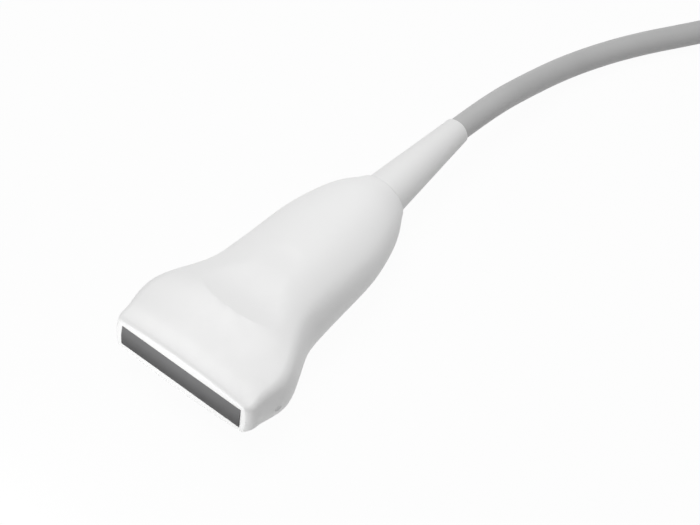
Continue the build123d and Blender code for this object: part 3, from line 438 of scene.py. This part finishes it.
def rounded_off_the_seam(material, radius):
    """Softened edges, but none along the parting plane, where the two halves meet flush."""
    tree = material.node_tree
    above = height_share(tree, low=SEAM_REACH / 2, high=SEAM_REACH)
    below = height_share(tree, low=-SEAM_REACH / 2, high=-SEAM_REACH)
    mix = tree.nodes.new("ShaderNodeMix")
    mix.data_type = "VECTOR"
    tree.links.new(larger(tree, above, below), mix.inputs["Factor"])
    flush = tree.nodes.new("ShaderNodeNewGeometry").outputs["Normal"]
    for value, place in ((flush, "A"), (rounded_edges(material, radius), "B")):
        socket = [i for i in mix.inputs if i.identifier == place + "_Vector"][0]
        tree.links.new(value, socket)
    return [o for o in mix.outputs if o.identifier == "Result_Vector"][0]


def paint_shade_on_lower_edge(material, colour, low, high):
    """Paints shade into a piece's colour, darker towards its lower edge."""
    tree = material.node_tree
    base = tree.nodes["Principled BSDF"].inputs["Base Color"]
    upper = base.links[0].from_socket
    mix = tree.nodes.new("ShaderNodeMix")
    mix.data_type = "RGBA"
    mix.inputs["A"].default_value = (*colour, 1.0)
    tree.links.new(height_share(tree, low, high), mix.inputs["Factor"])
    tree.links.new(upper, mix.inputs["B"])
    tree.links.new(mix.outputs["Result"], base)


def white_plastic():
    """Satin white moulding with a fine spark-eroded grain."""
    material = new_material("white_plastic", (0.86, 0.86, 0.86), roughness=0.42)
    vary_colour(material, scale=35.0, one=(0.862, 0.862, 0.86), other=(0.85, 0.85, 0.85))
    vary_roughness(material, scale=300.0, low=0.38, high=0.48)
    add_bump(material, scale=4500.0, depth=0.000004, normal=rounded_off_the_seam(material, HOUSING_EDGE))
    return material


def white_boot():
    """Soft white elastomer of the strain reliefs."""
    material = new_material("white_boot", (0.835, 0.835, 0.835), roughness=0.55)
    vary_colour(material, scale=60.0, one=(0.84, 0.84, 0.835), other=(0.825, 0.825, 0.825))
    add_bump(material, scale=3000.0, depth=0.000006)
    return material


def lens_rubber():
    """Dark grey silicone, smooth, with slight clouds, and painted shade that darkens it towards its lower
    edge.
    """
    material = new_material("lens_rubber", (0.154, 0.154, 0.156), roughness=0.38)
    shader = material.node_tree.nodes["Principled BSDF"]
    shader.inputs["Specular IOR Level"].default_value = LENS_SHEEN
    vary_colour(material, scale=90.0, one=(0.162, 0.162, 0.164), other=(0.146, 0.146, 0.148))
    # painted shade: the lens's colour runs down to near black towards its lower edge
    paint_shade_on_lower_edge(material, (0.02, 0.02, 0.021), low=-LENS_SHADE_REACH, high=LENS_SHADE_REACH)
    vary_roughness(material, scale=400.0, low=0.32, high=0.45)
    return material


def lead_sheath():
    """Grey extruded sheath with a faint cloudiness."""
    material = new_material("lead_sheath", (0.505, 0.505, 0.505), roughness=0.45)
    vary_colour(material, scale=70.0, one=(0.515, 0.515, 0.515), other=(0.49, 0.49, 0.49))
    vary_roughness(material, scale=500.0, low=0.4, high=0.52)
    add_bump(material, scale=2500.0, depth=0.000005)
    return material


def grained_plastic(name, colour):
    """Moulded plastic with a visible grain, for the connector."""
    material = new_material(name, colour, roughness=0.5)
    lighter = tuple(min(1.0, c * 1.04) for c in colour)
    vary_colour(material, scale=80.0, one=colour, other=lighter)
    add_bump(material, scale=2200.0, depth=0.00002, detail=4.0,
             normal=rounded_edges(material, CONNECTOR_EDGE))
    return material


def board_laminate():
    """Green solder resist with a faint weave below it."""
    material = new_material("board_laminate", (0.02, 0.12, 0.05), roughness=0.35)
    tree = material.node_tree
    wave = tree.nodes.new("ShaderNodeTexWave")
    wave.inputs["Scale"].default_value = 800.0
    tree.links.new(object_coordinates(tree), wave.inputs["Vector"])
    bump = tree.nodes.new("ShaderNodeBump")
    bump.inputs["Distance"].default_value = 0.00001
    tree.links.new(wave.outputs["Fac"], bump.inputs["Height"])
    tree.links.new(bump.outputs["Normal"], tree.nodes["Principled BSDF"].inputs["Normal"])
    vary_colour(material, scale=200.0, one=(0.02, 0.12, 0.05), other=(0.025, 0.15, 0.06))
    return material


def metal(name, colour, roughness):
    """Metal with fine scratches in its sheen."""
    material = new_material(name, colour, roughness, metallic=1.0)
    vary_roughness(material, scale=900.0, low=roughness - 0.06, high=roughness + 0.08)
    add_bump(material, scale=3500.0, depth=0.000004)
    return material


def dull(name, colour, roughness=0.6):
    """Plain hidden plastic, ceramic or epoxy."""
    material = new_material(name, colour, roughness)
    vary_colour(material, scale=150.0, one=colour, other=tuple(c * 0.93 for c in colour))
    add_bump(material, scale=1800.0, depth=0.000008)
    return material


def dress_nodes(dress):
    """Gives each CAD node its finish."""
    for material, names in dress:
        for name in names:
            slots = NODES[name].data.materials
            slots.clear()
            slots.append(material)


def finish_the_pieces():
    """Dresses every CAD node and adds the blended housing; gives back the lead's material."""
    steel = metal("steel", (0.62, 0.62, 0.64), 0.3)
    epoxy = dull("epoxy", (0.02, 0.02, 0.022))
    socket = dull("socket_plastic", (0.015, 0.015, 0.016), 0.5)
    board = board_laminate()
    conductors = dull("conductors", (0.08, 0.12, 0.25))
    boot = white_boot()
    lead = lead_sheath()
    plug = grained_plastic("plug_plastic", (0.62, 0.62, 0.61))
    housing = white_plastic()
    blended_housing(housing)
    dress_nodes([
        (housing, ["upper_housing", "lower_housing"]),
        (boot, ["strain_relief", "connector_boot"]),
        (lens_rubber(), ["acoustic_lens"]),
        (lead, ["cable", "cable_hank", "cable_tail", "held_lead", "connector_lead"]),
        (epoxy, ["outer_matching_layer", "inner_matching_layer", "backing_block"]),
        (dull("piezo_ceramic", (0.62, 0.54, 0.36)), ["piezo_array"]),
        (dull("polyimide", (0.45, 0.17, 0.02), 0.25), ["flex_circuit"]),
        (metal("aluminium", (0.75, 0.75, 0.77), 0.35), ["array_frame"]),
        (board, ["upper_board", "lower_board", "connector_board"]),
        (socket, ["upper_socket", "lower_socket", "board_spacer", "contact_block", "board_header"]),
        (metal("copper_shield", (0.75, 0.42, 0.26), 0.35), ["shield_sleeve"]),
        (conductors, ["coax_fan", "connector_fan"]),
        (steel, ["spacer_screws", "lead_ferrule", "lead_clamp", "clamp_screws", "cover_screws",
                 "lock_shaft", "lock_cross_pin", "shaft_clip", "knob_screw"]),
        (metal("contact_gold", (0.83, 0.62, 0.25), 0.25), ["contact_pins"]),
        (dull("gasket", (0.10, 0.10, 0.105), 0.7), ["shield_gasket"]),
        (plug, ["connector_base", "connector_cover"]),
        (grained_plastic("knob_plastic", (0.14, 0.145, 0.155)), ["lock_knob"]),
        (dull("tie_fabric", (0.02, 0.02, 0.022), 0.9), ["hank_tie"]),
    ])
    return lead


add_camera()
light_the_scene()
add_floor()
lead_material = finish_the_pieces()
lay_the_lead(lead_material)
